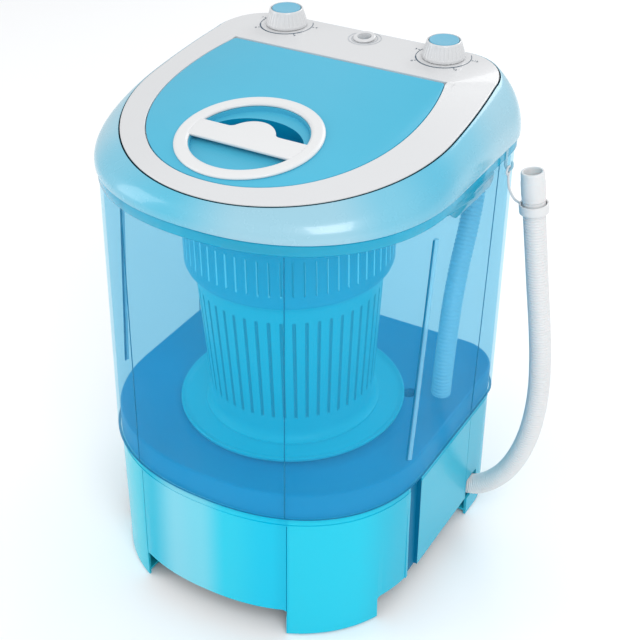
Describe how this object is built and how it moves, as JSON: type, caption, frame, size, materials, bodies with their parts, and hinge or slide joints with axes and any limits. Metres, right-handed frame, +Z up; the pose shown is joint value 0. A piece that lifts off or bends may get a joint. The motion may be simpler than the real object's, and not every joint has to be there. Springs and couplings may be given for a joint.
{
  "type": "portable mini washer",
  "caption": "Small top-loading washer: clear blue tub on a legged base, D-shaped hinged lid with a round grip, timer knobs, spin basket, belt drive and side drain hose.",
  "frame": {"origin": "on the floor under the middle of the machine, leaving out the drain hose", "axes": "+X to the right seen from the front, +Y towards the back and the knobs, +Z up; the curved front faces -Y"},
  "size_m": [0.4505, 0.3795, 0.5648],
  "materials": {
    "white_plastic": "smooth glossy moulded ABS, faintly cool white",
    "pearl_blue": "glossy blue moulded ABS with a pale pearl sheen",
    "lid_blue": "satin sky-blue moulded ABS",
    "base_blue": "glossy bright cyan-blue moulded ABS",
    "clear_blue": "clear blue-tinted styrene",
    "floor_blue": "glossy mid-blue moulded polypropylene",
    "basket_blue": "translucent blue moulded polypropylene",
    "cap_blue": "satin grey-blue moulded disc",
    "hose_white": "ribbed off-white polyethylene",
    "dark_plastic": "dark moulded plastic",
    "rubber": "black moulded rubber",
    "steel": "turned, zinc-plated steel",
    "cast_metal": "die-cast, as cast",
    "copper": "lacquered copper windings on laminations"
  },
  "bodies": {
    "housing": {"top_panel": "white_plastic", "inlet_spigot": "white_plastic", "splash_shield": "white_plastic", "hose_strap": "white_plastic", "collar": "pearl_blue", "hose_hook": "pearl_blue", "base_shell": "base_blue", "tub_shell": "clear_blue", "tub_floor": "floor_blue", "drain_elbow": "floor_blue", "drain_hose": "hose_white", "hose_cuff": "hose_white", "overflow_hose": "hose_white", "bottom_cover": "dark_plastic", "cable_gland": "dark_plastic", "spin_timer_case": "dark_plastic", "wash_timer_case": "dark_plastic", "motor_case": "dark_plastic", "capacitor": "dark_plastic", "foot_front_left": "rubber", "foot_front_right": "rubber", "foot_rear_right": "rubber", "foot_rear_left": "rubber", "drive_belt": "rubber", "water_seal": "rubber", "lower_bearing": "steel", "upper_bearing": "steel", "cover_screw_front_left": "steel", "cover_screw_front_right": "steel", "cover_screw_rear_right": "steel", "cover_screw_rear_left": "steel", "motor_screw_1": "steel", "motor_screw_2": "steel", "motor_screw_3": "steel", "motor_screw_4": "steel", "bearing_housing": "cast_metal", "motor_bracket": "cast_metal", "motor_stator": "copper"},
    "lid": {"lid_panel": "lid_blue", "lid_handle": "white_plastic", "hinge_pin_left": "steel", "hinge_pin_right": "steel"},
    "spinner": {"drive_shaft": "steel", "pulsator": "basket_blue", "pulsator_screw": "steel", "spin_basket": "basket_blue", "driven_pulley": "cast_metal", "pulley_nut": "steel"},
    "rotor": {"motor_rotor": "steel", "motor_pulley": "dark_plastic"},
    "wash_knob_turn": {"wash_knob": "white_plastic", "wash_knob_cap": "cap_blue", "wash_timer_shaft": "steel"},
    "spin_knob_turn": {"spin_knob": "white_plastic", "spin_knob_cap": "cap_blue", "spin_timer_shaft": "steel"}
  },
  "joints": [
    {"name": "lid_hinge", "type": "hinge", "parent": "housing", "child": "lid", "pos_m": [0, 0.09585, 0.54087], "axis": [-1, 0, 0], "range_deg": [0, 95]},
    {"name": "basket_spin", "type": "hinge", "parent": "housing", "child": "spinner", "pos_m": [0, -0.002, 0.12], "axis": [0, 0, 1], "continuous": true},
    {"name": "motor_spin", "type": "hinge", "parent": "housing", "child": "rotor", "pos_m": [-0.092, 0.06, 0.1], "axis": [0, 0, 1], "continuous": true},
    {"name": "wash_timer", "type": "hinge", "parent": "housing", "child": "wash_knob_turn", "pos_m": [0.0945, 0.155, 0.55], "axis": [0, 0, -1], "range_deg": [0, 300]},
    {"name": "spin_timer", "type": "hinge", "parent": "housing", "child": "spin_knob_turn", "pos_m": [-0.0945, 0.155, 0.55], "axis": [0, 0, -1], "range_deg": [0, 300]}
  ],
  "couplings": [
    {"joint": "motor_spin", "follows": "basket_spin", "ratio": 4.4266}
  ]
}
